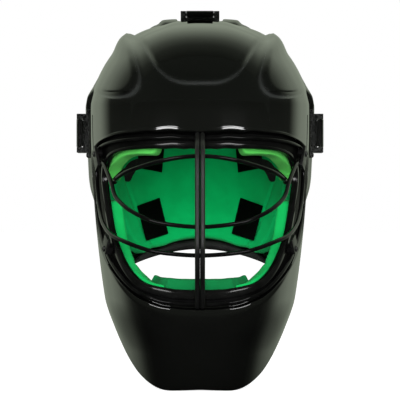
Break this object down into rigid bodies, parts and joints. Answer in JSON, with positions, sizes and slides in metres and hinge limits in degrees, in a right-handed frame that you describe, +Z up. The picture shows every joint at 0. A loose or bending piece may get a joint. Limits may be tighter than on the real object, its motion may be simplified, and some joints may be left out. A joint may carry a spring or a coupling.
{
  "type": "field hockey goalkeeper helmet",
  "caption": "Full-face goalkeeper helmet: a glossy shell with chin guard and wire cage, green foam padding, and a back plate that slides on three buckled straps.",
  "frame": {"origin": "centre of the wearer's head, between the temples, on the middle plane and level with the middle of the face opening", "axes": "+Z up, the face looks along -Y, +X to the right of somebody who looks at the face"},
  "size_m": [0.237, 0.2873, 0.348],
  "materials": {
    "shell_gloss": "high gloss, moulded",
    "plate_gloss": "gloss, moulded",
    "clip_plastic": "moulded",
    "coated_wire": "black powder coat on steel wire",
    "edge_rubber": "matt",
    "hook_tape": "hook tape",
    "green_foam": "closed-cell foam, skived, matt",
    "webbing": "woven webbing",
    "buckle_plastic": "moulded",
    "steel": "zinc plated"
  },
  "bodies": {
    "front_shell": {"front_shell": "shell_gloss", "face_opening_trim": "edge_rubber", "cage_frame_wire": "coated_wire", "cage_brow_bar": "coated_wire", "cage_eye_bar": "coated_wire", "cage_mouth_bar": "coated_wire", "cage_upright_left": "coated_wire", "cage_upright_right": "coated_wire", "cage_clip_upper_left": "clip_plastic", "cage_clip_upper_right": "clip_plastic", "cage_clip_lower_left": "clip_plastic", "cage_clip_lower_right": "clip_plastic", "clip_screw_upper_left": "steel", "clip_screw_upper_right": "steel", "clip_screw_lower_left": "steel", "clip_screw_lower_right": "steel", "forehead_pad": "green_foam", "crown_pad": "green_foam", "temple_pad_left": "green_foam", "temple_pad_right": "green_foam", "cheek_pad_left": "green_foam", "cheek_pad_right": "green_foam", "chin_pad": "green_foam", "buckle_base_top": "buckle_plastic", "buckle_base_left": "buckle_plastic", "buckle_base_right": "buckle_plastic", "buckle_pin_top": "steel", "buckle_pin_left": "steel", "buckle_pin_right": "steel", "buckle_screw_top_left": "steel", "buckle_screw_top_right": "steel", "buckle_screw_left_upper": "steel", "buckle_screw_left_lower": "steel", "buckle_screw_right_upper": "steel", "buckle_screw_right_lower": "steel"},
    "back_plate": {"back_plate": "plate_gloss", "back_pad": "green_foam", "neck_band": "edge_rubber", "hook_patch_upper_left": "hook_tape", "hook_patch_upper_right": "hook_tape", "hook_patch_lower_left": "hook_tape", "hook_patch_lower_right": "hook_tape", "strap_top": "webbing", "strap_left": "webbing", "strap_right": "webbing", "strap_rivet_top_front": "steel", "strap_rivet_top_rear": "steel", "strap_rivet_left_front": "steel", "strap_rivet_left_rear": "steel", "strap_rivet_right_front": "steel", "strap_rivet_right_rear": "steel"},
    "lever_top": {"buckle_lever_top": "buckle_plastic"},
    "lever_left": {"buckle_lever_left": "buckle_plastic"},
    "lever_right": {"buckle_lever_right": "buckle_plastic"}
  },
  "joints": [
    {"name": "back_plate_slide", "type": "slide", "parent": "front_shell", "child": "back_plate", "axis": [0, 1, 0], "range_m": [0, 0.025]},
    {"name": "lever_top_hinge", "type": "hinge", "parent": "front_shell", "child": "lever_top", "pos_m": [0, -0.0024, 0.1792], "axis": [-1, 0, 0], "range_deg": [0, 80]},
    {"name": "lever_left_hinge", "type": "hinge", "parent": "front_shell", "child": "lever_left", "pos_m": [-0.1164, -0.0024, 0.064], "axis": [0, 0, -1], "range_deg": [0, 80]},
    {"name": "lever_right_hinge", "type": "hinge", "parent": "front_shell", "child": "lever_right", "pos_m": [0.1164, -0.0024, 0.064], "axis": [0, 0, 1], "range_deg": [0, 80]}
  ]
}
